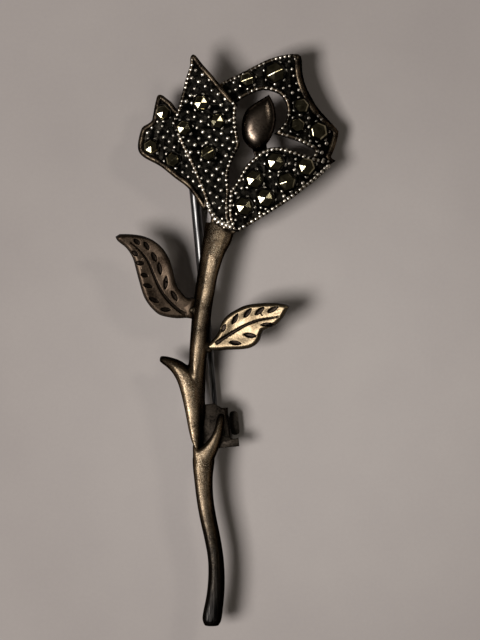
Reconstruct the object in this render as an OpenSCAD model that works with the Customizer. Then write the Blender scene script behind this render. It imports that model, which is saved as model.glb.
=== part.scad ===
// Rose brooch in oxidised silver with marcasites: four soldered petals, a bud, a two-part stem,
// two leaves, and on its back a hinged pin and a roll-over safety catch.
// It lies face up. +Y runs from the stem to the flower, and the back hardware rests on z = 0.

/* [Flower] */
// Width of the flower head
flower_w = 20; // [16.5:0.5:28]
// Height of the flower head above the stem
flower_h = 17.5; // [14.5:0.5:24]
// Thickness of one petal
petal_t = 1.2; // [1:0.1:2]
// Height of the bud's dome above its rim
bud_rise = 1.3; // [0.6:0.1:3.5]
// Thickness of the bud's rim
bud_rim_t = 0.5; // [0.3:0.1:1]

/* [Marcasites] */
// Diameter of the marcasites on the two left-hand petals and the small ones at the back
stone_d = 1.5; // [1:0.1:1.8]
// Diameter of the marcasites on the front petal
front_stone_d = 1.8; // [1.2:0.1:2]
// Diameter of the large marcasite at the top of the back petal
large_stone_d = 2; // [1.2:0.1:2.4]
// Depth of the pocket that holds a stone
pocket_depth = 0.6; // [0.4:0.1:0.8]
// Height of a stone's faceted crown above the petal
crown_h = 0.4; // [0.2:0.05:0.7]
// Gap round a stone in its pocket
stone_gap = 0.03; // [0.02:0.01:0.06]

/* [Stem and leaves] */
// Length of the stem below the flower
stem_len = 39.6; // [32:0.4:48]
// Width of the stem halfway down
stem_w = 2; // [1.6:0.1:2.6]
// Thickness of the stem from its flat back to its crest
stem_t = 2; // [1.5:0.1:2.6]
// Length of the left leaf
left_leaf_len = 10.6; // [7:0.2:14]
// Length of the right leaf
right_leaf_len = 9.6; // [7:0.2:13]
// Thickness of a leaf
leaf_t = 0.9; // [0.7:0.1:1.4]
// Angle by which each leaf rises towards its tip
leaf_tilt = 9; // [0:1:15]
// Width of the cuts engraved in the leaves
slit_w = 0.44; // [0.2:0.02:0.6]
// Depth of the cuts engraved in the leaves
slit_depth = 0.3; // [0.1:0.05:0.5]
// Width of the vein engraved in each leaf, at the leaf's root
vein_w = 0.36; // [0.2:0.02:0.5]
// Depth of the vein
vein_depth = 0.2; // [0.1:0.05:0.4]

/* [Pin and hinge] */
// Diameter of the pin's shank
pin_d = 1; // [0.8:0.05:1.2]
// Diameter of the pin where the catch holds it
pin_catch_d = 0.48; // [0.4:0.02:0.7]
// Length of the straight part of the shank
shank_len = 12; // [8:0.5:16]
// Free gap between the pin and the back of the brooch
pin_gap = 2.25; // [1.8:0.05:3]
// Outer diameter of the eye at the hinge end of the pin
eye_d = 1.7; // [1.5:0.1:2]
// Diameter of the hinge rivet
rivet_d = 0.6; // [0.5:0.05:0.8]
// Thickness of each ear of the hinge bracket
ear_t = 0.5; // [0.3:0.05:0.8]
// Side and end play of the pin's eye on its rivet
hinge_gap = 0.05; // [0.03:0.01:0.08]
// Radius of the ears round the rivet
ear_r = 0.8; // [0.7:0.05:0.85]
// Width of the hinge bracket's soldering pad, across the pin
pad_w = 3; // [2.6:0.1:3.6]
// Length of the hinge bracket's soldering pad, along the pin
pad_l = 2.6; // [2:0.1:3.4]

/* [Catch] */
// Outer diameter of the catch's tube
tube_d = 2.5; // [2.3:0.1:3]
// Wall of the catch's tube
tube_wall = 0.3; // [0.2:0.05:0.4]
// Length of the catch's tube
tube_len = 3.2; // [2.8:0.1:4]
// Diameter of the hole through the rotor
rotor_bore = 0.84; // [0.8:0.02:0.9]
// Gap between the rotor and the tube
rotor_gap = 0.07; // [0.04:0.01:0.1]
// Width of the slot that lets the pin into the rotor
slot_w = 0.74; // [0.72:0.01:0.8]
// Length of the rotor's lever outside the tube
lever_l = 0.85; // [0.7:0.05:1.1]
// Thickness of the lever
lever_t = 0.36; // [0.25:0.01:0.5]
// Width of the lever's paddle along the pin
lever_w = 2.4; // [1.8:0.1:2.6]
// Width of the lever's neck along the pin
neck_w = 1.1; // [0.8:0.1:1.4]
// Thickness of the plates soldered under the hinge and the catch
plate_t = 0.5; // [0.4:0.05:0.8]

/* [Hidden] */
$fn = 48;
steps = 3;
eps = 0.01;

// The outlines are drawn on grids of these sizes and scaled to the sizes above.
flower_grid = [20, 17.5];
stem_grid = 39.6;
left_leaf_grid = 10.45;
right_leaf_grid = 9.5;

// Heights above the surface that the brooch lies on
pin_z = tube_d / 2;
back_z = pin_z + pin_d / 2 + pin_gap;
plate_z = back_z - plate_t;
upper_z = back_z + petal_t;
leaf_z = back_z + 0.25;

pin_r = pin_d / 2;
rivet_r = rivet_d / 2;
eye_w = 1;
tube_r = tube_d / 2;
rotor_r = tube_r - tube_wall - rotor_gap;
rotor_len = tube_len - 0.3;
window_w = neck_w + 2 * rotor_gap;

function last(p) = p[len(p) - 1];
function on_curve(p, i, t) =
    let (a = p[max(i - 1, 0)], b = p[i], c = p[i + 1], d = p[min(i + 2, len(p) - 1)])
    0.5 * (2 * b + (c - a) * t + (2 * a - 5 * b + 4 * c - d) * t * t + (3 * b - a - 3 * c + d) * t * t * t);
// A smooth run through p without its last point
function run(p) = [for (i = [0 : len(p) - 2], k = [0 : steps - 1]) on_curve(p, i, k / steps)];
// A closed outline of smooth edges. Each edge starts where the one before it ends, in a corner.
function outline(edges) =
    [for (i = [0 : len(edges) - 1])
        each run(concat([last(edges[(i + len(edges) - 1) % len(edges)])], edges[i]))];
// The outline of a line that starts w wide and narrows towards its end
function tapered(p, w) =
    let (line = concat(run(p), [last(p)]), n = len(line),
        way = [for (i = [0 : n - 1]) unit(line[min(i + 1, n - 1)] - line[max(i - 1, 0)])],
        side = [for (i = [0 : n - 1]) [-way[i].y, way[i].x] * w * (0.5 - 0.35 * i / n)])
    concat([for (i = [0 : n - 1]) line[i] + side[i]], [for (i = [n - 1 : -1 : 0]) line[i] - side[i]]);
function high(p, k) = max([for (q = p) q[k]]);
function unit(v) = v / norm(v);

// Flower grid: x and y from the top of the stem
function flower(p) = [p.x * flower_w / flower_grid.x, p.y * flower_h / flower_grid.y];
function petal_outline(edges) = [for (p = outline(edges)) flower(p)];

// The seam that the centre and front petals share, from the slot down to the stem
seam = [[0.95, 3.9], [0.85, 2.5], [0.85, 1.3], [1.3, -0.1]];

left_petal = petal_outline([
    [[-6.5, 12.5], [-6.8, 10.9]],
    [[-7.2, 10.6], [-7.8, 10.2], [-8.15, 9], [-8.2, 8.15], [-7.98, 7.62], [-7.4, 7.15], [-6, 6.4], [-4.5, 5.2],
     [-3.2, 4.2], [-2, 2.5], [-1.3, 1.1]],
    [[-1.1, 3.4]],
    [[-0.6, 5], [-0.8, 7.2], [-1.2, 9.5], [-2.6, 11.5], [-4.3, 12]],
    [[-4.8, 12.7], [-5.35, 13.15], [-5.75, 13.45], [-6.1, 13.5], [-6.3, 13.3], [-6.38, 12.95]]]);

centre_petal = petal_outline([
    [[-3, 16.2], [-3.4, 15], [-3.7, 13.8], [-4.2, 12], [-4.8, 10.6]],
    [[-4, 8.7], [-2.8, 6.2], [-1.7, 3.5], [-1.1, 1.7], [-0.4, 0.6], [0.4, 0.05]],
    [seam[3]], [seam[2]], [seam[1]], [seam[0]],
    [[0.85, 5.5], [1.3, 7], [2, 8.4]],
    [[1.7, 10], [1.6, 11.5], [1.8, 12.6]],
    [[1.3, 12.95], [0.2, 14.2], [-0.8, 15.4], [-1.7, 16.4], [-2.2, 17.05], [-2.45, 17.32], [-2.7, 17.4],
     [-2.9, 17.2], [-2.96, 16.85]]]);

back_petal = petal_outline([
    [[-0.6, 13.6]],
    [[0.6, 12.6]],
    [[1.5, 12.6]],
    [[2.3, 13.2], [4.2, 14], [5.9, 13.6], [6.65, 12.5], [6.65, 11.2], [6.2, 10.4], [5.4, 9.6]],
    [[6.5, 9.3], [8, 8.8], [8.8, 8.4], [9.6, 8]],
    [[9.2, 7.3]],
    [[8.6, 6.3]],
    [[9.6, 5.6]],
    [[10.9, 6.5]],
    [[11.6, 7]],
    [[11.1, 7.3]],
    [[11.4, 8], [11.8, 9.2], [11.9, 10]],
    [[11, 11], [9.8, 12.3], [8.8, 14], [8.3, 15.5], [8.2, 17]],
    [[8.05, 17.4], [7.7, 17.6]],
    [[6.5, 17.5], [5, 17.1], [3.5, 16.4], [2, 15.6], [0.2, 14.8]]]);

front_petal = petal_outline([
    [[3.2, 7], [2.6, 6.4], [2.1, 5.6], [1.6, 4.7], seam[0]],
    [seam[1]], [seam[2]], [seam[3]],
    [[1.8, -0.2], [3.1, 0.55], [5, 1.7], [6.8, 2.85], [8.4, 4.05], [9.7, 5.1], [11, 6.3]],
    [[11.1, 7]],
    [[10.5, 7], [9, 7.3], [7.5, 7.8], [6, 8.2], [4.8, 8.1], [4.1, 7.8]]]);

bud_outline = petal_outline([
    [[3.5, 12.65], [2.55, 11.8], [2.15, 10.5], [2.3, 9.1], [3, 8.2], [3.7, 7.9], [4.4, 8.25], [5.25, 9.5],
     [5.6, 11], [5.4, 12.5], [4.9, 13.5]]]);
bud_heart = flower([3.95, 10.6]);
// Tang under the bud that is soldered beneath the front petal's corner
bud_tang = petal_outline([[[3, 9]], [[3.9, 5.8]], [[5.1, 6.2]], [[4.5, 9.2]]]);

// Tongue of the stem that is soldered beneath the flower
stem_lap = petal_outline([
    [[-0.75, 3.3]], [[-0.95, 0.9]], [[-0.2, -0.5]], [[1.5, -0.3]], [[1.6, 1.2]], [[1.2, 3.3]]]);

// Marcasites: place on the flower grid, diameter and petal layer (0 lower, 1 upper)
stones = [
    [[-5.7, 11.75], stone_d, 0], [[-6.9, 8.3], stone_d, 0], [[-4.7, 7], stone_d, 0],
    [[-1.9, 12.6], stone_d, 1], [[-0.3, 10.8], stone_d, 1], [[-3.6, 10.1], stone_d, 1], [[-1.2, 7.6], stone_d, 1],
    [[2.7, 15], stone_d, 0], [[5.5, 15.7], large_stone_d, 0], [[8.15, 12.4], stone_d, 0],
    [[7.75, 10.45], stone_d, 0], [[9.9, 9.9], front_stone_d, 0],
    [[5.5, 6.75], front_stone_d, 1], [[8.6, 6.3], front_stone_d, 1], [[6.65, 4.75], front_stone_d, 1],
    [[3.4, 5], front_stone_d, 1], [[4.5, 3.15], front_stone_d, 1], [[2.4, 2.3], front_stone_d, 1]];
left_stones = [0, 1, 2];
centre_stones = [3, 4, 5, 6];
back_stones = [7, 8, 9, 10, 11];
front_stones = [12, 13, 14, 15, 16, 17];

// Stem stations: x, y, half width as a share of stem_w, height as a share of stem_t
function stem_at(p) = [p.x, p.y] * stem_len / stem_grid;
main_stem = [
    [0, 0.6, 0.75, 0.75], [-0.2, -0.6, 0.74, 0.9], [-0.68, -2, 0.62, 1], [-1.15, -4, 0.53, 1], [-1.5, -6, 0.5, 1],
    [-1.8, -8, 0.49, 1], [-1.98, -10, 0.48, 1], [-2.15, -12, 0.46, 1], [-2.3, -14, 0.44, 0.9],
    [-2.35, -16, 0.44, 0.7], [-2.25, -18.4, 0.38, 0.5], [-2.2, -20, 0.27, 0.4], [-2.15, -21.4, 0.1, 0.3]];
thorn_and_tongue = [
    [-6.02, -12.88, 0.12, 0.4], [-5.75, -12.95, 0.19, 0.55], [-5.05, -13.25, 0.28, 0.75], [-4.2, -13.8, 0.39, 0.92],
    [-3.35, -14.85, 0.5, 1.04], [-2.92, -16.3, 0.49, 1.08], [-2.64, -18.4, 0.4, 1.08], [-2.48, -19.8, 0.35, 1.08],
    [-2.32, -21.15, 0.25, 1.02], [-2.12, -22.05, 0.05, 0.85]];
lower_stem = [
    [-0.84, -39.6, 0.34, 0.5], [-0.83, -39.2, 0.45, 0.85], [-0.77, -38.6, 0.49, 1], [-0.46, -36.6, 0.45, 0.95],
    [-0.35, -34.7, 0.42, 0.9], [-0.43, -32.8, 0.4, 0.9], [-0.76, -30.8, 0.41, 0.9], [-1.17, -28.9, 0.42, 0.9],
    [-1.49, -27, 0.43, 0.95], [-1.65, -25, 0.47, 1], [-1.66, -23.6, 0.54, 1],
    [-1.55, -22.65, 0.56, 1], [-0.95, -21.85, 0.4, 0.95], [-0.46, -21, 0.3, 0.9], [-0.1, -20, 0.24, 0.8],
    [0.06, -19.1, 0.22, 0.68], [0.13, -18.65, 0.18, 0.55], [0.17, -18.35, 0.11, 0.4]];
// Shoulder of the lower stem beside the tongue
shoulder = [
    [-1.8, -24, 0.4, 0.9], [-1.95, -23, 0.38, 0.9], [-2.15, -22.2, 0.3, 0.85], [-2.35, -21.5, 0.2, 0.7],
    [-2.42, -21.1, 0.1, 0.4]];

// Leaves: x and y from the point where each meets the stem's side
left_leaf = outline([
    [[-0.4, 1.25], [-1, 1.8], [-1.5, 2.55], [-1.8, 3.6], [-2.05, 4.6], [-2.4, 5.45], [-3.05, 6.35], [-3.9, 7],
     [-4.95, 7.4], [-6.2, 7.55], [-7.1, 7.55]],
    [[-7.5, 7.3]],
    [[-7.3, 6.9], [-6.45, 6.2], [-5.8, 5.2], [-5.45, 3.95], [-5.1, 2.65], [-4.7, 1.4], [-4.15, 0.5], [-3.4, -0.25],
     [-2.65, -0.55], [-1.5, -0.73], [-0.5, -0.7], [0, -0.8]],
    [[0.7, -0.8]],
    [[0.7, 1.2]],
    [[0.1, 1.3]]]);
right_leaf = outline([
    [[0.9, 0.9], [1.5, 1.75], [1.75, 2.5], [2.3, 3.25], [3.2, 3.85], [4.2, 4.3], [5.7, 4.5], [7.1, 4.55], [8.2, 4.4]],
    [[8.55, 4.15]],
    [[8.3, 3.8], [7.85, 3.05], [7.2, 2.4], [6.45, 2.05], [5.9, 1.8]],
    [[5.7, 1.35], [5.4, 0.65], [4.75, 0.15], [3.8, -0.05], [2.55, -0.1], [1.25, -0.2], [0.3, -0.15]],
    [[-0.7, -0.2]],
    [[-0.7, 0.3]],
    [[0.2, 0.3]]]);
left_leaf_root = [-2.9, -8];
right_leaf_root = [-1.5, -11.8];
left_leaf_way = [-7.5, 7.3];
right_leaf_way = [8.55, 4.15];
// Engraved cuts: x, y, direction and length
left_slits = [
    [-5.65, 5.7, -30, 0.8], [-5.15, 4.75, -5, 0.95], [-4.7, 3.55, -15, 0.8], [-4.35, 2.5, -15, 1.05],
    [-3.75, 1.1, -22, 1.15], [-2.6, 0.15, -3, 1.1],
    [-5.45, 6.85, -40, 0.8], [-4.5, 6.45, -58, 1], [-3.75, 5.35, -65, 1.1], [-3.2, 4.2, -80, 1.3],
    [-2.6, 2.8, -95, 1.4], [-1.75, 1.5, -60, 1.2]];
right_slits = [
    [2, 2.05, 62, 0.9], [3.15, 2.95, 60, 1.25], [4.4, 3.55, 50, 1.25], [5.6, 3.75, 40, 1.25], [6.9, 3.9, 28, 1.3],
    [3.15, 0.6, -8, 1.3], [4.6, 1.35, -8, 1.35], [6.4, 2.4, 0, 1.4]];
// The line of each leaf's vein, from its root
left_vein = [[-0.5, -0.4], [-1.6, 0.3], [-2.8, 1.6], [-3.6, 3.1], [-4.3, 4.8], [-5.1, 5.9], [-6.1, 6.8]];
right_vein = [[1.2, 0.55], [2.7, 1.5], [4.2, 2.35], [5.7, 2.9], [7.5, 3.2]];

// The pin's line: from the hinge, behind the left petal, to the catch, behind the stem's thorns
hinge = flower([-3, 8]);
catch = stem_at([-0.33, -19.55]);
pin_turn = atan2(catch.x - hinge.x, hinge.y - catch.y);
catch_way = norm(catch - hinge);
tip_past_catch = 2.1;
pin_len = catch_way + tip_past_catch;

// The catch plate, from the pin's line at the middle of the catch
catch_plate_outline = [[-2.4, -2.3], [2.05, -2.3], [2.05, -1.4], [1.1, 1.3], [0, 2.2], [-2.4, 2.2]];
plate_notch = [0.95, -0.75];

// Middle of the whole brooch, which is the origin
left_leaf_tip = stem_at(left_leaf_root) + left_leaf_way * cos(leaf_tilt) * left_leaf_len / left_leaf_grid;
lowest = stem_at(lower_stem[0]);
middle = [(left_leaf_tip.x + high(back_petal, 0)) / 2, (lowest.y + high(back_petal, 1)) / 2];

// From the drawing's origin at the top of the stem to the middle of the brooch
module placed() {
    translate([-middle.x, -middle.y, 0]) children();
}

// Along the pin: y = 0 at the hinge and -y towards the tip
module on_pin(y = 0) {
    placed() translate(hinge) rotate([0, 0, pin_turn]) translate([0, y, 0]) children();
}

// A profile in (y, z) with a thickness along x, centred
module across(t) {
    rotate([90, 0, 90]) linear_extrude(t, center = true) children();
}

// A solid along y, from its profile in (x, z), centred
module along(l) {
    rotate([90, 0, 0]) linear_extrude(l, center = true) children();
}

module rounded(w, h, r) {
    square([w - 2 * r, h], center = true);
    square([w, h - 2 * r], center = true);
    for (x = [-1, 1], y = [-1, 1]) translate([x * (w / 2 - r), y * (h / 2 - r)]) circle(r);
}

// A half-round bar with a flat back, swept through its stations
module bar(stations) {
    sides = 12;
    ring = sides + 1;
    smooth = concat(run(stations), [last(stations)]);
    n = len(smooth);
    way = [for (i = [0 : n - 1]) unit(stem_at(smooth[min(i + 1, n - 1)]) - stem_at(smooth[max(i - 1, 0)]))];
    points = [for (i = [0 : n - 1], j = [0 : sides])
        let (c = stem_at(smooth[i]), a = 180 * j / sides, w = smooth[i][2] * stem_w, h = smooth[i][3] * stem_t)
        [c.x + way[i].y * w * cos(a), c.y - way[i].x * w * cos(a), back_z + h * sin(a)]];
    walls = [for (i = [0 : n - 2], j = [0 : sides])
        let (a = i * ring + j, b = i * ring + (j + 1) % ring)
        each [[a, b, b + ring], [a, b + ring, a + ring]]];
    ends = [[for (j = [sides : -1 : 0]) j], [for (j = [0 : sides]) (n - 1) * ring + j]];
    polyhedron(points, concat(walls, ends), convexity = 4);
}

// A dome over an outline that runs counterclockwise
module dome(shape, heart, z, rim, rise) {
    rows = 8;
    n = len(shape);
    lift = [for (k = [0 : rows]) let (a = 87 * k / rows) [pow(cos(a), 2 / 3), rim + rise * pow(sin(a), 2 / 3)]];
    rings = concat([[1, 0]], lift);
    points = [for (r = rings, p = shape) let (q = heart + (p - heart) * r[0]) [q.x, q.y, z + r[1]]];
    walls = [for (k = [0 : len(rings) - 2], j = [0 : n - 1])
        let (a = k * n + j, b = k * n + (j + 1) % n)
        each [[a, a + n, b + n], [a, b + n, b]]];
    ends = [[for (j = [0 : n - 1]) j], [for (j = [n - 1 : -1 : 0]) (len(rings) - 1) * n + j]];
    polyhedron(points, concat(walls, ends), convexity = 4);
}

module petal(shape, z, held) {
    color([0.42, 0.39, 0.35]) placed() difference() {
        translate([0, 0, z]) linear_extrude(petal_t) polygon(shape);
        for (i = held) translate(flower(stones[i][0])) translate([0, 0, z + petal_t - pocket_depth])
            cylinder(h = pocket_depth + 1, d = stones[i][1] + 2 * stone_gap);
    }
}

module petal_left() { petal(left_petal, back_z, left_stones); }
module petal_centre() { petal(centre_petal, upper_z, centre_stones); }
module petal_back() { petal(back_petal, back_z, back_stones); }
module petal_front() { petal(front_petal, upper_z, front_stones); }

module marcasite(i) {
    d = stones[i][1];
    top = (stones[i][2] == 0 ? back_z : upper_z) + petal_t;
    color([0.5, 0.49, 0.4]) placed() translate(flower(stones[i][0])) {
        translate([0, 0, top - pocket_depth]) cylinder(h = pocket_depth, d = d);
        translate([0, 0, top]) cylinder(h = crown_h, d1 = d, d2 = d * 0.4, $fn = 6);
    }
}

module bud() {
    color([0.55, 0.44, 0.34]) placed() {
        difference() {
            dome(bud_outline, bud_heart, upper_z - bud_rim_t, bud_rim_t, bud_rise);
            translate([0, 0, upper_z]) linear_extrude(petal_t) polygon(front_petal);
        }
        translate([0, 0, upper_z - 2 * bud_rim_t]) linear_extrude(2 * bud_rim_t) polygon(bud_tang);
    }
}

module upper_bars() {
    bar(main_stem);
    bar(thorn_and_tongue);
}

module stem_upper() {
    color([0.62, 0.56, 0.47]) placed() difference() {
        union() {
            upper_bars();
            translate([0, 0, back_z]) linear_extrude(petal_t) polygon(stem_lap);
        }
        translate([0, 0, back_z]) linear_extrude(petal_t) polygon(left_petal);
        translate([0, 0, upper_z]) linear_extrude(petal_t) polygon(centre_petal);
        translate([0, 0, upper_z]) linear_extrude(petal_t) polygon(front_petal);
    }
}

module stem_lower() {
    color([0.62, 0.56, 0.47]) placed() {
        difference() {
            bar(lower_stem);
            upper_bars();
        }
        difference() {
            bar(shoulder);
            upper_bars();
        }
    }
}

// A pointed cut along x, centred
module slit(l) {
    r = (l * l + slit_w * slit_w) / (4 * slit_w);
    intersection() {
        translate([0, r - slit_w / 2]) circle(r);
        translate([0, slit_w / 2 - r]) circle(r);
    }
}

// A leaf with its engraved cuts and vein, flat, from its root
module leaf(shape, size, cuts, vein) {
    difference() {
        linear_extrude(leaf_t) polygon(shape * size);
        for (c = cuts) translate([c[0] * size, c[1] * size, leaf_t - slit_depth]) rotate([0, 0, c[2]])
            linear_extrude(slit_depth + 1) slit(c[3] * size);
        translate([0, 0, leaf_t - vein_depth]) linear_extrude(vein_depth + 1) polygon(tapered(vein * size, vein_w));
    }
}

// The leaf rises towards its tip, and its root is fitted to the stem's side
module leaf_on_stem(root, way) {
    placed() difference() {
        translate([stem_at(root).x, stem_at(root).y, leaf_z]) rotate(a = leaf_tilt, v = [way.y, -way.x, 0])
            children();
        upper_bars();
    }
}

module leaf_left() {
    color([0.36, 0.31, 0.28])
        leaf_on_stem(left_leaf_root, left_leaf_way)
            leaf(left_leaf, left_leaf_len / left_leaf_grid, left_slits, left_vein);
}

module leaf_right() {
    color([0.72, 0.66, 0.52])
        leaf_on_stem(right_leaf_root, right_leaf_way)
            leaf(right_leaf, right_leaf_len / right_leaf_grid, right_slits, right_vein);
}

module hinge_bracket() {
    color([0.45, 0.44, 0.42]) on_pin() {
        translate([0, 0, plate_z]) linear_extrude(plate_t) rounded(pad_w, pad_l, 0.4);
        for (s = [-1, 1]) translate([s * (eye_w + ear_t + 2 * hinge_gap) / 2, 0, 0]) across(ear_t)
            difference() {
                union() {
                    translate([0, pin_z]) circle(ear_r);
                    translate([-ear_r, pin_z]) square([2 * ear_r, plate_z - pin_z + eps]);
                }
                translate([0, pin_z]) circle(rivet_r);
            }
    }
}

module hinge_rivet() {
    width = eye_w + 2 * (hinge_gap + ear_t);
    head_r = rivet_r + 0.2;
    head_t = 0.2;
    color([0.5, 0.48, 0.45]) on_pin() translate([0, 0, pin_z]) rotate([0, 90, 0]) {
        cylinder(h = width, r = rivet_r, center = true);
        for (s = [-1, 1]) translate([0, 0, s * (width + head_t) / 2])
            cylinder(h = head_t, r = head_r, center = true);
    }
}

module pin_stem() {
    taper_end = catch_way - tube_len / 2;
    point_len = 2;
    color([0.4, 0.4, 0.42]) on_pin() translate([0, 0, pin_z]) difference() {
        union() {
            rotate([0, 90, 0]) cylinder(h = eye_w, d = eye_d, center = true);
            rotate([90, 0, 0]) {
                cylinder(h = shank_len, r = pin_r);
                translate([0, 0, shank_len]) cylinder(h = taper_end - shank_len, r1 = pin_r, d2 = pin_catch_d);
                translate([0, 0, taper_end]) cylinder(h = pin_len - point_len - taper_end, d = pin_catch_d);
                translate([0, 0, pin_len - point_len]) cylinder(h = point_len, d1 = pin_catch_d, d2 = 0.1);
            }
        }
        rotate([0, 90, 0]) cylinder(h = 2 * eye_w, r = rivet_r + hinge_gap, center = true);
    }
}

module catch_plate() {
    notch_r = 0.75;
    color([0.42, 0.4, 0.38]) on_pin(-catch_way) translate([0, 0, plate_z]) linear_extrude(plate_t) difference() {
        polygon(catch_plate_outline);
        translate([plate_notch.x + notch_r, plate_notch.y]) circle(notch_r);
        translate([plate_notch.x, plate_notch.y]) square([2 * notch_r, 3]);
    }
}

module catch_tube() {
    web_w = 1.6;
    web_left = -1.1;
    opening = [for (a = [-116 : 6.55 : 15]) 3 * [cos(a), sin(a)]];
    color([0.45, 0.43, 0.4]) on_pin(-catch_way) difference() {
        union() {
            translate([0, 0, pin_z]) rotate([90, 0, 0]) cylinder(h = tube_len, r = tube_r, center = true);
            translate([web_left, -tube_len / 2, pin_z]) cube([web_w, tube_len, plate_z - pin_z]);
        }
        translate([0, 0, pin_z]) rotate([90, 0, 0]) cylinder(h = tube_len + 1, r = tube_r - tube_wall, center = true);
        translate([-slot_w / 2 - rotor_gap, -tube_len, -1]) cube([slot_w + 2 * rotor_gap, 2 * tube_len, pin_z + 1]);
        translate([0, 0, pin_z]) along(window_w) polygon(concat([[0, 0]], opening));
    }
}

module catch_rotor() {
    paddle_x = tube_r + 0.1;
    color([0.5, 0.47, 0.43]) on_pin(-catch_way) translate([0, 0, pin_z]) difference() {
        union() {
            rotate([90, 0, 0]) cylinder(h = rotor_len, r = rotor_r, center = true);
            translate([rotor_r / 2, -neck_w / 2, -lever_t / 2]) cube([paddle_x + 0.2 - rotor_r / 2, neck_w, lever_t]);
            translate([paddle_x + lever_l / 2, 0, -lever_t / 2]) linear_extrude(lever_t)
                rounded(lever_l, lever_w, 0.35);
        }
        rotate([90, 0, 0]) cylinder(h = rotor_len + 1, d = rotor_bore, center = true);
        translate([-slot_w / 2, -rotor_len, -2 * rotor_r]) cube([slot_w, 2 * rotor_len, 2 * rotor_r]);
    }
}

petal_left();
petal_centre();
petal_back();
petal_front();
bud();
stem_upper();
stem_lower();
leaf_left();
leaf_right();
for (i = [1 : len(stones)])
    marcasite(i - 1);
hinge_bracket();
hinge_rivet();
pin_stem();
catch_plate();
catch_tube();
catch_rotor();
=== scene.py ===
import math
import random

import bpy
import bmesh
from mathutils import Matrix, Vector


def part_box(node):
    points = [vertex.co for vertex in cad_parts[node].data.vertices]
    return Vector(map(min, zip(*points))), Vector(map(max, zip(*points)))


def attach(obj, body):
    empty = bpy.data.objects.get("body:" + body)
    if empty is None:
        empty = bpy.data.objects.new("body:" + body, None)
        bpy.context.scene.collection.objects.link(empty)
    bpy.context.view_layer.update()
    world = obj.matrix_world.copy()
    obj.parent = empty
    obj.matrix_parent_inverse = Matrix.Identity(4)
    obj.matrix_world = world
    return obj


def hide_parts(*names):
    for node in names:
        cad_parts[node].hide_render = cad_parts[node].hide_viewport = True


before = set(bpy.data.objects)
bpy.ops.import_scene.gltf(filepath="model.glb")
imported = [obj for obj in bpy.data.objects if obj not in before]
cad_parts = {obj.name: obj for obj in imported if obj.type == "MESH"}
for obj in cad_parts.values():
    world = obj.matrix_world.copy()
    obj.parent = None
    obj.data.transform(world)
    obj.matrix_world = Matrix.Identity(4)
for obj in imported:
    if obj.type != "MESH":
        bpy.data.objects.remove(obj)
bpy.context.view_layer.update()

mm = 0.001  # one millimetre in metres
random.seed(7)


# small helpers

def deselectAll():
    if bpy.context.object and bpy.context.object.mode != "OBJECT":
        bpy.ops.object.mode_set(mode="OBJECT")
    bpy.ops.object.select_all(action="DESELECT")


def makeActive(piece):
    deselectAll()
    piece.select_set(True)
    bpy.context.view_layer.objects.active = piece


def startEdit(piece, wanted=None):
    # opens the piece in edit mode with the wanted faces selected
    makeActive(piece)
    bpy.ops.object.mode_set(mode="EDIT")
    bpy.ops.mesh.select_mode(type="FACE")
    bpy.ops.mesh.select_all(action="SELECT" if wanted is None else "DESELECT")
    if wanted is not None:
        bpy.ops.object.mode_set(mode="OBJECT")
        for face in piece.data.polygons:
            face.select = wanted(face)
        bpy.ops.object.mode_set(mode="EDIT")


def endEdit():
    bpy.ops.object.mode_set(mode="OBJECT")


def applyModifier(piece, kind, **settings):
    makeActive(piece)
    modifier = piece.modifiers.new(kind.lower(), kind)
    for key, value in settings.items():
        setattr(modifier, key, value)
    bpy.ops.object.modifier_apply(modifier=modifier.name)


def smoothByAngle(piece, degrees):
    makeActive(piece)
    bpy.ops.object.shade_smooth_by_angle(angle=math.radians(degrees))


def freshCopy(node, name):
    # a copy of a CAD node, with its loose triangles merged and its flat faces joined
    piece = bpy.data.objects.new(name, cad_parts[node].data.copy())
    bpy.context.scene.collection.objects.link(piece)
    piece.data.name = name
    startEdit(piece)
    bpy.ops.mesh.remove_doubles(threshold=0.002 * mm)
    bpy.ops.mesh.dissolve_limited(angle_limit=math.radians(0.5))
    endEdit()
    return piece


def joinPieces(main, others):
    makeActive(main)
    for other in others:
        other.select_set(True)
    bpy.ops.object.join()
    return main


# how the petals curl: along an axis, from start to end in shares of a petal's box, by rise in millimetres
curls = {
    "petal_left": dict(of="petal_left", axis=0, start=0.46, end=0.0, rise=-0.3),
    "petal_centre": dict(of="petal_centre", axis=1, start=0.5, end=1.0, rise=0.36),
    "petal_back": dict(of="petal_back", axis=0, start=0.5, end=1.0, rise=-2.2),
    "petal_front": dict(of="petal_back", axis=0, start=0.5, end=1.0, rise=-2.2),
}
curlStep = 0.4


def curlPiece(piece, petal):
    # bends a flat piece with its petal
    curl = curls[petal]
    axis = curl["axis"]
    low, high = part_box(curl["of"])
    start = low[axis] + curl["start"] * (high[axis] - low[axis])
    end = low[axis] + curl["end"] * (high[axis] - low[axis])
    for vertex in piece.data.vertices:
        share = max(0, (vertex.co[axis] - start) / (end - start))
        vertex.co.z += curl["rise"] * mm * share * share


def cutForCurl(piece, petal):
    # cuts a flat piece into narrow strips, so that it can bend
    axis = curls[petal]["axis"]
    low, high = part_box(petal)
    normal = (1, 0, 0) if axis == 0 else (0, 1, 0)
    startEdit(piece)
    for k in range(1, math.ceil((high[axis] - low[axis]) / (curlStep * mm))):
        place = [0, 0, 0]
        place[axis] = low[axis] + k * curlStep * mm
        bpy.ops.mesh.select_all(action="SELECT")
        bpy.ops.mesh.bisect(plane_co=place, plane_no=normal)
    endEdit()


def showBack(piece, index):
    # gives the faces that look down another material
    for face in piece.data.polygons:
        if face.normal.z < -0.7:
            face.material_index = index


def finishPiece(piece, body, nodes, slot, *materials):
    if materials:
        piece.data.materials.clear()
        for material in materials:
            piece.data.materials.append(material)
    if len(materials) == 2:
        showBack(piece, 1)
    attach(piece, body)
    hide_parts(*nodes)


# materials

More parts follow.
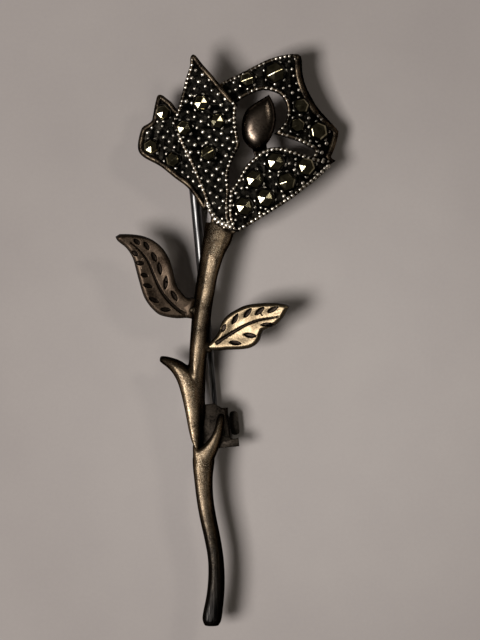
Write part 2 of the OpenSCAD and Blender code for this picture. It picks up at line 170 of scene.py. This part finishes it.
def newMaterial(name, roughness, metallic=1.0):
    # a metal unless told otherwise, with the place on the object for its patterns
    material = bpy.data.materials.new(name)
    material.use_nodes = True
    tree = material.node_tree
    shader = tree.nodes["Principled BSDF"]
    shader.inputs["Metallic"].default_value = metallic
    shader.inputs["Roughness"].default_value = roughness
    place = tree.nodes.new("ShaderNodeTexCoord")
    return material, tree, shader, place.outputs["Object"]


def addNoise(tree, place, grainSize, detail=3.0, stretch=(1, 1, 1), turn=0.0):
    # grainSize is the size of one grain in millimetres
    mapping = tree.nodes.new("ShaderNodeMapping")
    mapping.inputs["Scale"].default_value = stretch
    mapping.inputs["Rotation"].default_value = (0, 0, turn)
    noise = tree.nodes.new("ShaderNodeTexNoise")
    noise.inputs["Scale"].default_value = 1 / (grainSize * mm)
    noise.inputs["Detail"].default_value = detail
    tree.links.new(place, mapping.inputs["Vector"])
    tree.links.new(mapping.outputs["Vector"], noise.inputs["Vector"])
    return noise.outputs["Fac"]


def addRamp(tree, value, stops):
    ramp = tree.nodes.new("ShaderNodeValToRGB")
    elements = ramp.color_ramp.elements
    while len(elements) < len(stops):
        elements.new(0.5)
    for element, (position, colour) in zip(elements, stops):
        element.position = position
        element.color = (*colour, 1)
    tree.links.new(value, ramp.inputs["Fac"])
    return ramp.outputs["Color"]


def addBetween(tree, place, axis, low, high):
    # 0 at low and 1 at high, in millimetres along one axis
    split = tree.nodes.new("ShaderNodeSeparateXYZ")
    tree.links.new(place, split.inputs["Vector"])
    spread = tree.nodes.new("ShaderNodeMapRange")
    spread.inputs["From Min"].default_value = low * mm
    spread.inputs["From Max"].default_value = high * mm
    tree.links.new(split.outputs[axis], spread.inputs["Value"])
    return spread.outputs["Result"]


def mixColours(tree, factor, first, second, mode="MIX"):
    mix = tree.nodes.new("ShaderNodeMix")
    mix.data_type = "RGBA"
    mix.blend_type = mode
    for socket, value in ((0, factor), (6, first), (7, second)):
        if isinstance(value, tuple):
            mix.inputs[socket].default_value = (*value, 1)
        elif isinstance(value, float):
            mix.inputs[socket].default_value = value
        else:
            tree.links.new(value, mix.inputs[socket])
    return mix.outputs[2]


def addBump(tree, shader, height, strength, depth):
    bump = tree.nodes.new("ShaderNodeBump")
    bump.inputs["Strength"].default_value = strength
    bump.inputs["Distance"].default_value = depth * mm
    tree.links.new(height, bump.inputs["Height"])
    tree.links.new(bump.outputs["Normal"], shader.inputs["Normal"])


def castSilver(name, dark, bright, grain=0.16, roughness=(0.3, 0.5), share=(0.4, 0.62), bumpDepth=0.02,
               cloudSize=1.4, wornAndShaded=None, greyed=None, spark=None, along=None):
    # cast silver, dark and tarnished between bright specks rubbed clean
    # worn gives the heights in millimetres between which the silver turns from near black down the sides,
    # partly tarnished metal and partly painted shade, to its full colour on top,
    # greyed the two places along the brooch between which the silver turns from grey to warm,
    # spark the colour of its brightest specks, and along how bright it is at places along the brooch,
    # partly tarnished metal and partly painted highlight and shade
    material, tree, shader, place = newMaterial(name, roughness[0])
    speck = addNoise(tree, place, grain, 4)
    cloud = addNoise(tree, place, cloudSize, 3)
    mottled = mixColours(tree, 0.5, speck, cloud)
    colour = addRamp(tree, mottled, [(share[0], dark), (share[1], bright)])
    if spark:
        dots = addRamp(tree, addNoise(tree, place, 0.5 * grain, 2), [(0.6, (0, 0, 0)), (0.68, (1, 1, 1))])
        colour = mixColours(tree, dots, colour, spark)
    if greyed:
        warm = addBetween(tree, place, "Y", *greyed)
        scratches = addNoise(tree, place, 0.12, 2, stretch=(1, 0.06, 1))
        grey = addRamp(tree, scratches, [(0.4, (0.03, 0.03, 0.032)), (0.7, (0.2, 0.19, 0.18))])
        colour = mixColours(tree, warm, grey, colour)
    # painted light and shade mixed with tarnish: the colour is multiplied by the brightness given at places
    # along the brooch
    if along:
        first, last = along[0][0], along[-1][0]
        stops = [((y - first) / (last - first), (light,) * 3) for y, light in along]
        shades = addRamp(tree, addBetween(tree, place, "Y", first, last), stops)
        colour = mixColours(tree, 1.0, colour, shades, "MULTIPLY")
    # painted shade mixed with tarnish: the silver goes near black down the sides and keeps its colour on
    # top
    if wornAndShaded:
        raisedShare = addBetween(tree, place, "Z", *wornAndShaded)
        edge = mixColours(tree, 0.25, raisedShare, speck)
        tarnishAndShade = tuple(0.12 * c for c in dark)
        polishAndLight = addRamp(tree, edge, [(0.1, (0, 0, 0)), (0.85, (1, 1, 1))])
        colour = mixColours(tree, polishAndLight, tarnishAndShade, colour)
    tree.links.new(colour, shader.inputs["Base Color"])
    shader.inputs["Specular Tint"].default_value = (0.25, 0.22, 0.18, 1)
    low, high = roughness
    rough = addRamp(tree, mottled, [(share[0], (high,) * 3), (share[1], (low,) * 3)])
    tree.links.new(rough, shader.inputs["Roughness"])
    addBump(tree, shader, speck, 0.6, bumpDepth)
    return material


def engravedSilver(name, leaf, dark, bright, grain, roughness, share):
    # a leaf's silver: rubbed bright on its face, black oxide in its cuts, and painted shade where its edge
    # falls away and down its sides
    material, tree, shader, place = newMaterial(name, roughness)
    speck = addNoise(tree, place, grain, 4)
    cloud = addNoise(tree, place, 1.8, 3)
    mottled = mixColours(tree, 0.6, speck, cloud)
    face = addRamp(tree, mottled, [(share[0], dark), (share[1], bright)])
    normal, level = faceOf(leaf)
    height = tree.nodes.new("ShaderNodeVectorMath")
    height.operation = "DOT_PRODUCT"
    height.inputs[1].default_value = normal
    tree.links.new(place, height.inputs[0])
    depth = tree.nodes.new("ShaderNodeMapRange")
    depth.inputs["From Min"].default_value = level
    depth.inputs["From Max"].default_value = level - 0.9 * mm
    tree.links.new(height.outputs["Value"], depth.inputs["Value"])
    # by depth below the face: black oxide in the cuts, and painted shade on the edge's rounded fall and
    # down the sides
    oxideAndEdgeShade = addRamp(tree, depth.outputs["Result"],
                  [(0.16, (0, 0, 0)), (0.24, (1, 1, 1)), (0.8, (1, 1, 1)), (0.98, (0.5, 0.5, 0.5))])
    colour = mixColours(tree, oxideAndEdgeShade, face, (0.012, 0.009, 0.007))
    tree.links.new(colour, shader.inputs["Base Color"])
    addBump(tree, shader, speck, 0.6, 0.02)
    return material


def faceOf(node):
    # the direction and the level of a leaf's flat face
    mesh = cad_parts[node].data
    face = max((f for f in mesh.polygons if f.normal.z > 0.5), key=lambda f: f.area)
    return face.normal.copy(), face.normal.dot(face.center)


fieldSilver = castSilver("blackened field", (0.001, 0.001, 0.001), (0.03, 0.027, 0.022), 0.1, (0.35, 0.6),
                         (0.45, 0.72), 0.03, 0.6)
grainSilver = castSilver("bright grain", (0.04, 0.033, 0.026), (0.95, 0.89, 0.78), 0.12, (0.28, 0.42),
                         (0.36, 0.58), 0.008, 0.45)
rimSilver = castSilver("petal rim", (0.008, 0.006, 0.005), (0.2, 0.155, 0.105), 0.12, (0.32, 0.45),
                       (0.45, 0.68))
# how bright the stem's colour is at places along it: partly tarnished metal, partly painted highlight and
# shade for how each stretch takes the light
stemTarnishAndLight = [(-28.6, 0.3), (-24, 0.24), (-20, 0.3), (-18, 0.5), (-16, 0.8), (-12, 1), (-9, 1.05), (-5, 1.25),
            (-3, 0.85), (-1, 0.75), (0.8, 0.42), (3, 0.42), (5, 0.7), (8, 0.95), (10, 1.6), (11.4, 1.6)]
stemSilver = castSilver("stem silver", (0.045, 0.03, 0.018), (0.5, 0.38, 0.25), 0.13, (0.4, 0.52),
                        (0.38, 0.7), 0.04, 1.6, (5.0, 6.1), (-27, -14), (0.95, 0.82, 0.62), stemTarnishAndLight)
budSilver = castSilver("bud silver", (0.045, 0.034, 0.027), (0.2, 0.16, 0.125), 0.25, (0.22, 0.3),
                       (0.35, 0.7), 0.006, 1.0, (5.4, 6.7))
# painted shade: the findings' silver is painted dark for the shade they lie in under the brooch, the catch
# plate's copy darker still
findingSilver = castSilver("finding silver", (0.012, 0.01, 0.009), (0.11, 0.095, 0.08), 0.2, (0.3, 0.45),
                           (0.38, 0.7), 0.006)
deepShadedFindingSilver = castSilver("finding silver in painted deep shade", (0.006, 0.005, 0.004), (0.085, 0.07, 0.056), 0.2,
                         (0.35, 0.5), (0.38, 0.72), 0.006)
backSilver = castSilver("plain back silver", (0.09, 0.08, 0.068), (0.36, 0.33, 0.29), 0.3, (0.35, 0.5),
                        (0.3, 0.7), 0.01, 2.0)
# one leaf silver in two copies: the left leaf's painted darker as shade, the right leaf's painted lighter
# as light
shadedLeafSilver = engravedSilver("leaf silver painted shaded", "leaf_left", (0.018, 0.012, 0.008), (0.17, 0.125, 0.09),
                                0.13, 0.45, (0.35, 0.7))
litLeafSilver = engravedSilver("leaf silver painted lit", "leaf_right", (0.035, 0.024, 0.012),
                                  (0.32, 0.25, 0.16), 0.13, 0.36, (0.32, 0.68))
print("materials ready")


# petals

def topOutline(mesh, normal, level):
    # the outer edge of a flat face, as points in order
    isTop = {f.index: f.normal.dot(normal) > 0.98 and abs(f.center.dot(normal) - level) < 0.05 * mm
             for f in mesh.polygons}
    counts = {}
    for face in mesh.polygons:
        for key in face.edge_keys:
            counts.setdefault(key, []).append(isTop[face.index])
    follow = {}
    for (a, b), sides in counts.items():
        if sorted(sides) == [False, True]:
            follow.setdefault(a, []).append(b)
            follow.setdefault(b, []).append(a)
    loops = []
    left = set(follow)
    while left:
        start = min(left)
        loop = [start]
        left.discard(start)
        while True:
            step = [v for v in follow[loop[-1]] if v in left]
            if not step:
                break
            loop.append(step[0])
            left.discard(step[0])
        loops.append([mesh.vertices[v].co.xy.copy() for v in loop])
    outer = max(loops, key=lambda loop: max(p.x for p in loop) - min(p.x for p in loop))
    area = sum(a.x * b.y - b.x * a.y for a, b in zip(outer, outer[1:] + outer[:1]))
    return outer if area > 0 else outer[::-1]


def distanceTo(outline, point):
    nearest = 1.0
    for a, b in zip(outline, outline[1:] + outline[:1]):
        way = b - a
        share = max(0, min(1, (point - a).dot(way) / max(way.length_squared, 1e-18)))
        nearest = min(nearest, (point - a - way * share).length)
    return nearest


def isInside(outline, point):
    crossings = 0
    for a, b in zip(outline, outline[1:] + outline[:1]):
        if (a.y > point.y) != (b.y > point.y):
            if point.x < a.x + (point.y - a.y) / (b.y - a.y) * (b.x - a.x):
                crossings += 1
    return crossings % 2 == 1


def spacedPoints(outline, pitch):
    # points at an even pitch along a closed outline, each with the direction into the petal
    total = sum((b - a).length for a, b in zip(outline, outline[1:] + outline[:1]))
    count = round(total / pitch)
    step = total / count
    points = []
    done = 0.0
    for a, b in zip(outline, outline[1:] + outline[:1]):
        way = b - a
        while len(points) < count and len(points) * step <= done + way.length:
            share = (len(points) * step - done) / max(way.length, 1e-12)
            points.append((a + way * share, Vector((-way.y, way.x)).normalized()))
        done += way.length
    return points


def insetPath(outline, pitch, insetAt):
    path = []
    for point, inward in spacedPoints(outline, pitch):
        inset = insetAt(point)
        moved = point + inward * inset
        if distanceTo(outline, moved) > 0.93 * inset:
            path.append(moved)
    return path


def roundWire(name, path, top, radius):
    # a closed wire along points that each have their own share of the radius
    curve = bpy.data.curves.new(name, "CURVE")
    curve.dimensions = "3D"
    curve.bevel_depth = radius
    curve.bevel_resolution = 2
    spline = curve.splines.new("POLY")
    spline.points.add(len(path) - 1)
    for place, (point, share) in zip(spline.points, path):
        place.co = (point.x, point.y, top - share * radius, 1)
        place.radius = share
    spline.use_cyclic_u = True
    wire = bpy.data.objects.new(name, curve)
    bpy.context.scene.collection.objects.link(wire)
    makeActive(wire)
    bpy.ops.object.convert(target="MESH")
    return bpy.context.object


def grainShape():
    # one flattened grain with a radius of 1, copied for every grain and bead
    deselectAll()
    bpy.ops.mesh.primitive_uv_sphere_add(segments=8, ring_count=6, radius=1)
    grain = bpy.context.object
    startEdit(grain, lambda face: face.center.z > -0.2)
    bpy.ops.transform.resize(value=(1, 1, 0.58), center_override=(0, 0, 0))
    endEdit()
    bpy.ops.object.shade_smooth()
    return grain


def scatter(name, shape, places):
    # joined copies of one small shape at (point, size)
    built = bmesh.new()
    for point, size in places:
        before = len(built.verts)
        built.from_mesh(shape.data)
        built.verts.ensure_lookup_table()
        bmesh.ops.transform(built, matrix=Matrix.Translation(point) @ Matrix.Scale(size, 4),
                            verts=built.verts[before:])
    mesh = bpy.data.meshes.new(name)
    built.to_mesh(mesh)
    built.free()
    piece = bpy.data.objects.new(name, mesh)
    bpy.context.scene.collection.objects.link(piece)
    makeActive(piece)
    bpy.ops.object.shade_smooth()
    return piece


grain = grainShape()
stoneNodes = ["marcasite_%d" % k for k in range(1, 1 + sum("marcasite_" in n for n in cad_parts))]

# the plain and sloped stretches of an edge are boxes given in shares of the petal's box
petals = {
    "petal_left": dict(name="leftPetal", beadPitch=0.42, beadSize=0.18, grainPitch=0.74, grainSize=0.2,
                       turn=-40, plain=[(0, 0, 1, 1)], sloped=[]),
    "petal_centre": dict(name="centrePetal", beadPitch=0.46, beadSize=0.2, grainPitch=0.78, grainSize=0.22,
                         turn=-33, plain=[(0.33, 0.735, 1, 1)], sloped=[]),
    "petal_back": dict(name="backPetal", beadPitch=0.46, beadSize=0.19, grainPitch=0.74, grainSize=0.19,
                       turn=20, plain=[(0.64, 0.5, 1, 1), (0.87, 0, 1, 0.5)],
                       sloped=[(0.68, 0.42, 1, 0.98)]),
    "petal_front": dict(name="frontPetal", beadPitch=0.48, beadSize=0.21, grainPitch=0.76, grainSize=0.21,
                        turn=35, plain=[], sloped=[]),
}
petalShape = dict(fieldDrop=0.3, rimInset=0.2, rimRadius=0.17, rimPitch=0.2, plainRadius=0.28,
                  slopeInset=0.5, slopeDrop=0.5, beadSink=0.1, solderSink=0.14, collar=0.1, collarGap=0.03)
# how the grains lie: their least distances from each other, the edge, a sloped edge and a stone
grainRoom = dict(gap=0.4, edge=0.5, slopedEdge=0.8, stone=0.18, ringStone=0.02, ringOut=0.12, ring=7,
                 rows=16, wobble=0.06, proud=0.08)
# lumps of solder at the foot of the centre petal: place and size
footSolder = [(-1.9, 13.4, 0.26), (-1.68, 12.95, 0.3), (-1.42, 12.5, 0.28), (-1.15, 12.1, 0.32),
              (-0.82, 11.8, 0.3), (-0.45, 11.6, 0.33), (-0.05, 11.45, 0.3), (0.3, 11.3, 0.28)]


def petalOf(stone):
    # the petal whose top the stone stands out of, and whose edge goes round it
    low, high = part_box(stone)
    middle = (low + high) / 2
    for node, outline in outlines.items():
        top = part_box(node)[1].z
        if low.z < top < high.z and isInside(outline, middle.xy):
            return node
    return None


def petalStones(node):
    boxes = [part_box(stone) for stone in stoneNodes if petalOf(stone) == node]
    return [(((low + high) / 2).xy, (high.x - low.x) / 2) for low, high in boxes]


def makePetal(node):
    facts = petals[node]
    shape = petalShape
    plate = plates[node]
    low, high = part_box(node)
    top = high.z
    outline = outlines[node]
    stones = petalStones(node)

    def inStretch(point, stretches):
        x = (point.x - low.x) / (high.x - low.x)
        y = (point.y - low.y) / (high.y - low.y)
        return any(s[0] <= x <= s[2] and s[1] <= y <= s[3] for s in stretches)

    def insetAt(point):
        if inStretch(point, facts["sloped"]):
            return shape["slopeInset"] * mm
        return (shape["plainRadius"] if inStretch(point, facts["plain"]) else shape["rimInset"]) * mm

    # the field lies lower than the rim and the stones' collars, and the sloped edge lower still
    startEdit(plate, lambda face: face.normal.z > 0.9 and abs(face.center.z - top) < 0.05 * mm)
    bpy.ops.transform.translate(value=(0, 0, -shape["fieldDrop"] * mm))
    endEdit()
    for vertex in plate.data.vertices:
        onTop = abs(vertex.co.z - top + shape["fieldDrop"] * mm) < 0.01 * mm
        onEdge = distanceTo(outline, vertex.co.xy) < 0.02 * mm
        if onTop and onEdge and inStretch(vertex.co, facts["sloped"]):
            vertex.co.z -= shape["slopeDrop"] * mm
    cutForCurl(plate, node)
    smoothByAngle(plate, 30)
    plate.data.materials.clear()
    for material in (fieldSilver, rimSilver, grainSilver, backSilver):
        plate.data.materials.append(material)
    showBack(plate, 3)

    wide = shape["plainRadius"] / shape["rimRadius"]
    path = [(point, wide if inStretch(point, facts["plain"]) else 1)
            for point in insetPath(outline, shape["rimPitch"] * mm, insetAt)]
    rim = roundWire(facts["name"] + "Rim", path, top, shape["rimRadius"] * mm)
    rim.data.materials.clear()
    rim.data.materials.append(rimSilver)

    beads = []
    for point in insetPath(outline, facts["beadPitch"] * mm, insetAt):
        plain = inStretch(point, facts["plain"])
        if not plain and all((point - other).length > 0.7 * facts["beadPitch"] * mm for other in beads):
            beads.append(point)

    grains = []
    room = grainRoom

    def tryGrain(point, reach):
        edge = room["slopedEdge" if inStretch(point, facts["sloped"]) else "edge"]
        if not isInside(outline, point) or distanceTo(outline, point) < edge * mm:
            return
        if any((point - other).length < room["gap"] * mm for other in grains):
            return
        if any((point - middle).length < radius + reach * mm for middle, radius in stones):
            return
        grains.append(point)

    for middle, radius in stones:
        start = random.random()
        for k in range(room["ring"]):
            angle = 2 * math.pi * (k + start) / room["ring"]
            way = Vector((math.cos(angle), math.sin(angle)))
            tryGrain(middle + way * (radius + room["ringOut"] * mm), room["ringStone"])
    pitch = facts["grainPitch"] * mm
    turn = math.radians(facts["turn"])
    along = Vector((math.cos(turn), math.sin(turn))) * pitch
    across = Vector((-along.y, along.x))
    middle = ((low + high) / 2).xy
    rows, most = room["rows"], room["wobble"]
    for i in range(-rows, rows + 1):
        for j in range(-rows, rows + 1):
            wobble = Vector((random.uniform(-most, most), random.uniform(-most, most))) * mm
            tryGrain(middle + along * i + across * j + wobble, room["stone"])

    def sized(size):
        return size * mm * random.uniform(0.72, 1.12)

    beadZ = top - shape["beadSink"] * mm
    grainZ = top - (shape["fieldDrop"] - room["proud"]) * mm
    places = [(Vector((p.x, p.y, beadZ)), sized(facts["beadSize"])) for p in beads]
    places += [(Vector((p.x, p.y, grainZ)), sized(facts["grainSize"])) for p in grains]
    if node == "petal_centre":
        solderZ = top - shape["solderSink"] * mm
        places += [(Vector((x * mm, y * mm, solderZ)), size * mm) for x, y, size in footSolder]
    dots = scatter(facts["name"] + "Grains", grain, places)
    dots.data.materials.append(grainSilver)

    collars = []
    for middle, radius in stones:
        deselectAll()
        bpy.ops.mesh.primitive_torus_add(
            location=(middle.x, middle.y, top - shape["collar"] * mm), minor_radius=shape["collar"] * mm,
            major_radius=radius + shape["collarGap"] * mm, major_segments=24, minor_segments=8)
        collar = bpy.context.object
        bpy.ops.object.transform_apply()
        bpy.ops.object.shade_smooth()
        collar.data.materials.append(fieldSilver)
        collars.append(collar)

    joinPieces(plate, [rim, dots] + collars)
    curlPiece(plate, node)
    finishPiece(plate, "brooch", [node], "silver_petals")


plates = {node: freshCopy(node, facts["name"]) for node, facts in petals.items()}
upwards = Vector((0, 0, 1))
outlines = {node: topOutline(plate.data, upwards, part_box(node)[1].z) for node, plate in plates.items()}
for node in petals:
    makePetal(node)
print("petals ready")


# marcasites

def pyrite():
    material, tree, shader, place = newMaterial("pyrite", 0.09)
    cloud = addNoise(tree, place, 0.5, 3)
    colour = addRamp(tree, cloud, [(0.35, (0.17, 0.15, 0.09)), (0.65, (0.36, 0.33, 0.22))])
    tree.links.new(colour, shader.inputs["Base Color"])
    return material


# a stone's girdle, rise and culet are shares of its radius, and the rest is in millimetres
stoneStyle = dict(girdle=0.82, rise=0.175 / 0.9, culet=0.6, crown=0.4, girdleLift=0.12, bevel=0.02)
# turn of each stone's facets in degrees, and how steep they are
stoneFacets = [(225, 0.9), (244, 0.8), (190, 1.5), (212, 1.1), (206, 1.25), (198, 1), (180, 1.5),
               (170, 1.4), (175, 1.3), (160, 1.6), (170, 1.4), (190, 1.5), (200, 1), (200, 1.7),
               (228, 1.15), (197, 1), (200, 1.05), (200, 1)]
pyriteStone = pyrite()


def makeStone(node, turn, steepness):
    low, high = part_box(node)
    radius = (high.x - low.x) / 2
    middle = ((low + high) / 2).xy
    petalTop = high.z - stoneStyle["crown"] * mm
    girdle = radius * stoneStyle["girdle"]
    baseZ = petalTop + stoneStyle["girdleLift"] * mm
    rise = stoneStyle["rise"] * steepness * radius
    deselectAll()
    bpy.ops.mesh.primitive_cone_add(vertices=6, radius1=girdle, radius2=0, depth=rise,
                                    location=(middle.x, middle.y, baseZ + rise / 2),
                                    rotation=(0, 0, math.radians(turn)))
    stone = bpy.context.object
    stone.name = node.replace("marcasite_", "stone")
    bpy.ops.object.transform_apply()
    centre = (middle.x, middle.y, baseZ)
    startEdit(stone, lambda face: face.normal.z < -0.9)
    bpy.ops.mesh.extrude_region_move(
        TRANSFORM_OT_translate={"value": (0, 0, -stoneStyle["girdleLift"] * mm)})
    bpy.ops.transform.resize(value=(1 / stoneStyle["girdle"],) * 2 + (1,), center_override=centre)
    bpy.ops.mesh.extrude_region_move(TRANSFORM_OT_translate={"value": (0, 0, low.z - petalTop)})
    bpy.ops.transform.resize(value=(stoneStyle["culet"],) * 2 + (1,), center_override=centre)
    endEdit()
    applyModifier(stone, "BEVEL", width=stoneStyle["bevel"] * mm, segments=1, limit_method="ANGLE",
                  angle_limit=math.radians(10))
    curlPiece(stone, petalOf(node))
    finishPiece(stone, "brooch", [node], "marcasite", pyriteStone)


for node, facets in zip(stoneNodes, stoneFacets):
    makeStone(node, *facets)
bpy.data.objects.remove(grain)
print("marcasites ready")


# bud, stem and leaves

def softCasting(node, name, voxel, rounds, lumps=()):
    # a copy with a casting's soft edges and joints, and lumps of solder given as (x, y, z, size)
    piece = freshCopy(node, name)
    blobs = []
    for x, y, z, size in lumps:
        deselectAll()
        bpy.ops.mesh.primitive_uv_sphere_add(segments=16, ring_count=10, radius=size * mm,
                                             location=(x * mm, y * mm, z * mm))
        bpy.ops.object.transform_apply()
        blobs.append(bpy.context.object)
    joinPieces(piece, blobs)
    piece.data.remesh_voxel_size = voxel * mm
    bpy.ops.object.voxel_remesh()
    applyModifier(piece, "SMOOTH", factor=0.5, iterations=rounds)
    bpy.ops.object.shade_smooth()
    return piece


def flattenCrest(piece, node, lean, below):
    # a broader crest than half an ellipse, leaning sideways, up to a place along the brooch
    low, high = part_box(node)
    tall = high.z - low.z
    for vertex in piece.data.vertices:
        height = min(1, max(0, (vertex.co.z - low.z) / tall))
        fade = min(1, max(0, (below * mm - vertex.co.y) / (1.5 * mm)))
        fade *= min(1, max(0, (height - 0.62) / 0.2))
        flat = (1 - (1 - height ** 2) ** 1.5) ** (1 / 3)
        vertex.co.z += (flat - height) * tall * fade
        turned = min(1, max(-0.6, vertex.co.y / (5 * mm)))
        vertex.co.x += lean * turned * mm * height ** 2


leafShape = dict(shoulder=0.42, fall=0.24, dishStart=0.35, dishEnd=1.3, dish=0.1)


def dishLeaf(piece, node):
    # rounds the leaf's edge and hollows its face a little
    normal, level = faceOf(node)
    flat = freshCopy(node, "flatLeaf")
    outline = topOutline(flat.data, normal, level)
    bpy.data.objects.remove(flat)
    shape = leafShape
    for vertex in piece.data.vertices:
        if level - vertex.co.dot(normal) > 0.45 * mm:
            continue
        edge = distanceTo(outline, vertex.co.xy) / mm
        fall = max(0, 1 - edge / shape["shoulder"]) ** 2 * shape["fall"]
        share = min(1, max(0, (edge - shape["dishStart"]) / (shape["dishEnd"] - shape["dishStart"])))
        vertex.co.z -= (fall + shape["dish"] * share * share * (3 - 2 * share)) * mm


solder = [(-2.1, -0.6, 5.0, 0.42), (-1.8, -0.95, 4.9, 0.35), (-3.6, 3.0, 4.9, 0.42), (-3.8, 3.5, 4.8, 0.35)]
castings = {
    "bud": dict(name="roseBud", voxel=0.08, rounds=12, slot="silver_bud", silver=budSilver),
    "stem_upper": dict(name="upperStem", voxel=0.09, rounds=14, lumps=solder, slot="silver_stem",
                       silver=stemSilver),
    "stem_lower": dict(name="lowerStem", voxel=0.09, rounds=12, slot="silver_stem", silver=stemSilver),
    "leaf_left": dict(name="leftLeaf", voxel=0.06, rounds=5, slot="silver_leaf_dark",
                      silver=shadedLeafSilver),
    "leaf_right": dict(name="rightLeaf", voxel=0.06, rounds=5, slot="silver_leaf_bright",
                       silver=litLeafSilver),
}
for node, facts in castings.items():
    piece = softCasting(node, facts["name"], facts["voxel"], facts["rounds"], facts.get("lumps", ()))
    if node.startswith("stem_"):
        flattenCrest(piece, node, 0.36, 10)
    if node.startswith("leaf_"):
        dishLeaf(piece, node)
    finishPiece(piece, "brooch", [node], facts["slot"], facts["silver"], backSilver)
print("bud, stem and leaves ready")


# pin, hinge and catch

def drawnWire():
    # painted shade: the wire's colour is painted dark for the shade it lies in under the brooch; its
    # streaks are the drawn wire's own
    material, tree, shader, place = newMaterial("drawn wire", 0.34)
    streak = addNoise(tree, place, 0.12, 2, stretch=(1, 0.04, 1), turn=math.radians(-5.5))
    colour = addRamp(tree, streak, [(0.35, (0.03, 0.03, 0.033)), (0.7, (0.2, 0.2, 0.2))])
    tree.links.new(colour, shader.inputs["Base Color"])
    addBump(tree, shader, streak, 0.4, 0.01)
    return material


pinSteel = drawnWire()
findings = {
    "pin_stem": ("pinStem", "pin", "pin_steel", 0.04, pinSteel),
    "hinge_bracket": ("hingeBracket", "brooch", "silver_findings", 0.05, findingSilver),
    "hinge_rivet": ("hingeRivet", "brooch", "silver_findings", 0.05, findingSilver),
    "catch_plate": ("catchPlate", "brooch", "silver_findings", 0.05, deepShadedFindingSilver),
    "catch_tube": ("catchTube", "brooch", "silver_findings", 0.04, findingSilver),
    "catch_rotor": ("catchRotor", "rotor", "silver_findings", 0.04, findingSilver),
}
for node, (name, body, slot, width, material) in findings.items():
    piece = freshCopy(node, name)
    applyModifier(piece, "BEVEL", width=width * mm, segments=2, limit_method="ANGLE",
                  angle_limit=math.radians(40), use_clamp_overlap=True)
    smoothByAngle(piece, 35)
    finishPiece(piece, body, [node], slot, material)
print("findings ready")


# floor, light and camera

def paper():
    material, tree, shader, place = newMaterial("grey paper", 0.9, 0.0)
    cloud = addNoise(tree, place, 9, 4)
    fibre = addNoise(tree, place, 0.35, 3)
    mottled = mixColours(tree, 0.3, cloud, fibre)
    colour = addRamp(tree, mottled, [(0.3, (0.44, 0.41, 0.4)), (0.7, (0.475, 0.445, 0.43))])
    # painted light: the paper is painted darker away from a pool of light at its brightest place
    fade = tree.nodes.new("ShaderNodeVectorMath")
    fade.operation = "DISTANCE"
    fade.inputs[1].default_value = (8 * mm, -4 * mm, 0)
    tree.links.new(place, fade.inputs[0])
    shade = addRamp(tree, fade.outputs["Value"], [(12 * mm, (1, 1, 1)), (34 * mm, (0.84, 0.83, 0.83))])
    colour = mixColours(tree, 1.0, colour, shade, "MULTIPLY")
    tree.links.new(colour, shader.inputs["Base Color"])
    addBump(tree, shader, fibre, 0.15, 0.02)
    return material


bpy.context.scene.view_settings.view_transform = "Standard"
deselectAll()
bpy.ops.mesh.primitive_plane_add(size=1.2, location=(0, 0, 0))
floor = bpy.context.object
floor.name = "floor"
floor.data.materials.append(paper())

world = bpy.data.worlds.new("room")
bpy.context.scene.world = world
world.use_nodes = True
background = world.node_tree.nodes["Background"]
background.inputs["Color"].default_value = (1, 0.9, 0.78, 1)
background.inputs["Strength"].default_value = 0.036


def softLight(name, tilt, azimuth, size, power, colour):
    # a square light, tilt degrees from straight above, in the direction of azimuth
    distance = 0.45
    lean, way = math.radians(tilt), math.radians(azimuth)
    aim = Vector((math.sin(lean) * math.cos(way), math.sin(lean) * math.sin(way), math.cos(lean)))
    spot = aim * distance
    light = bpy.data.lights.new(name, "AREA")
    light.size = size
    light.energy = power
    light.color = colour
    lamp = bpy.data.objects.new(name, light)
    bpy.context.scene.collection.objects.link(lamp)
    lamp.location = spot
    lamp.rotation_euler = (-spot).to_track_quat("-Z", "Y").to_euler()


softLight("window", 26, 200, 0.13, 1.75, (1, 0.95, 0.91))
softLight("lamp", 37, 35, 0.07, 0.17, (1, 0.93, 0.82))

viewCentre = Vector((1.257, 2.0, 0)) * mm
cameraHeight = 0.35
viewHeight = 0.064
sensor = 36
camera = bpy.data.cameras.new("camera")
camera.sensor_fit = "VERTICAL"
camera.sensor_height = sensor
camera.lens = sensor * (cameraHeight - 0.0045) / viewHeight
camera.clip_start = 0.01
cameraObject = bpy.data.objects.new("camera", camera)
bpy.context.scene.collection.objects.link(cameraObject)
cameraObject.location = (viewCentre.x, viewCentre.y, cameraHeight)
bpy.context.scene.camera = cameraObject
print("floor, light and camera ready")
